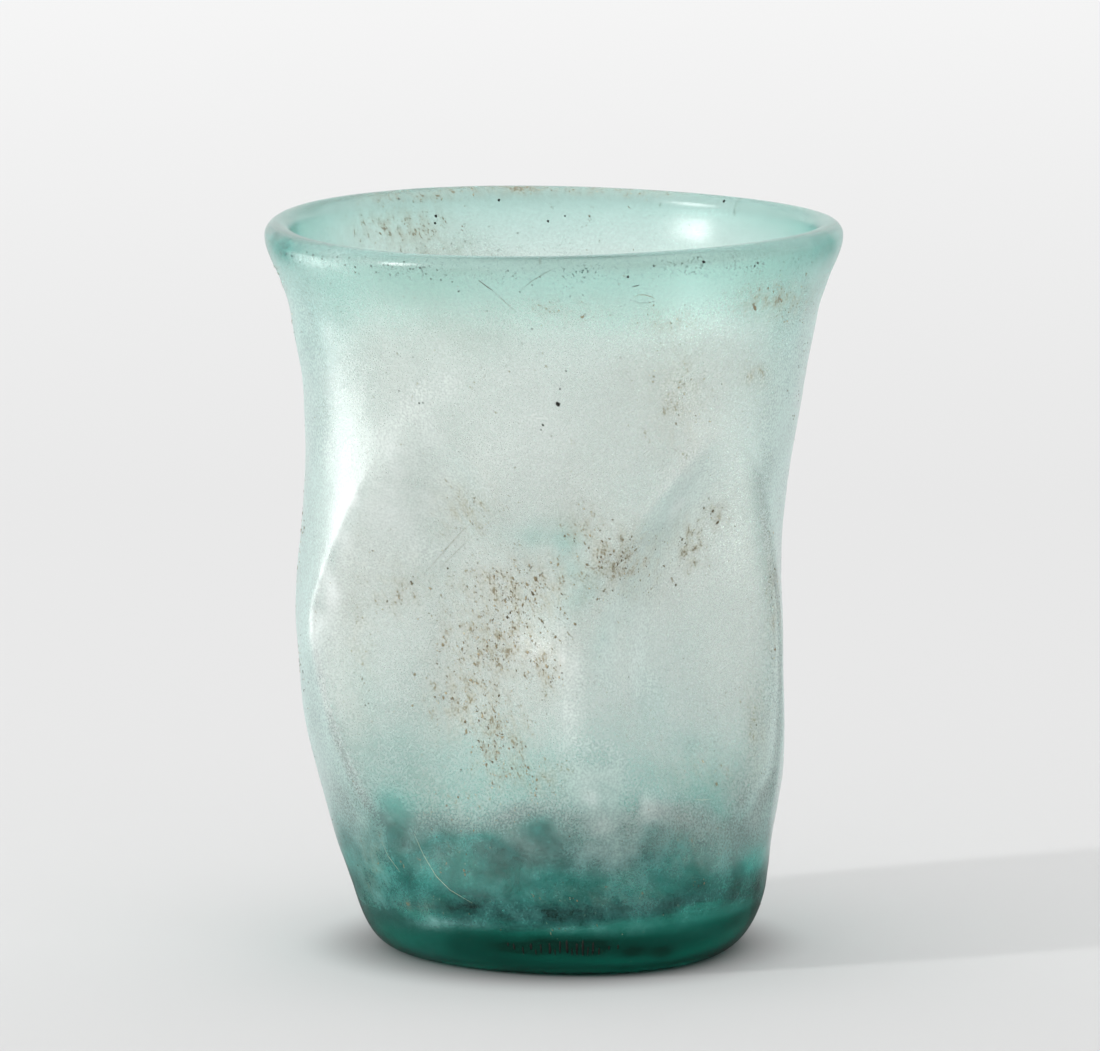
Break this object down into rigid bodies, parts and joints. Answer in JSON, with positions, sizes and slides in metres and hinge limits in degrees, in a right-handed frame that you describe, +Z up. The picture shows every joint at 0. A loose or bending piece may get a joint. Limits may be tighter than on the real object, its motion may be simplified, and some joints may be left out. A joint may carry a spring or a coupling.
{
  "type": "indented glass beaker",
  "caption": "Free-blown blue-green glass drinking beaker with a flared rounded lip, pressed indents in its wall and a thick pushed-in base.",
  "frame": {"origin": "on the surface the beaker stands on, below the centre of the rim", "axes": "+Z up along the axis of the rim, -Y towards the front, where one ridge between two indents faces the viewer, +X to the right"},
  "size_m": [0.0786, 0.0786, 0.1003],
  "materials": {
    "thin_glass": "pale blue-green glass with a dull weathered skin, soil stains and pinprick pits",
    "lip_glass": "fire-rounded, thicker and so more strongly blue-green",
    "base_glass": "thick, deep teal, dull where worn",
    "scar_glass": "rough broken glass, stained dark by the iron of the rod"
  },
  "bodies": {
    "root": {"rim_lip": "lip_glass", "flared_collar": "thin_glass", "indented_wall": "thin_glass", "thick_base": "base_glass", "pontil_scar": "scar_glass"}
  },
  "joints": []
}
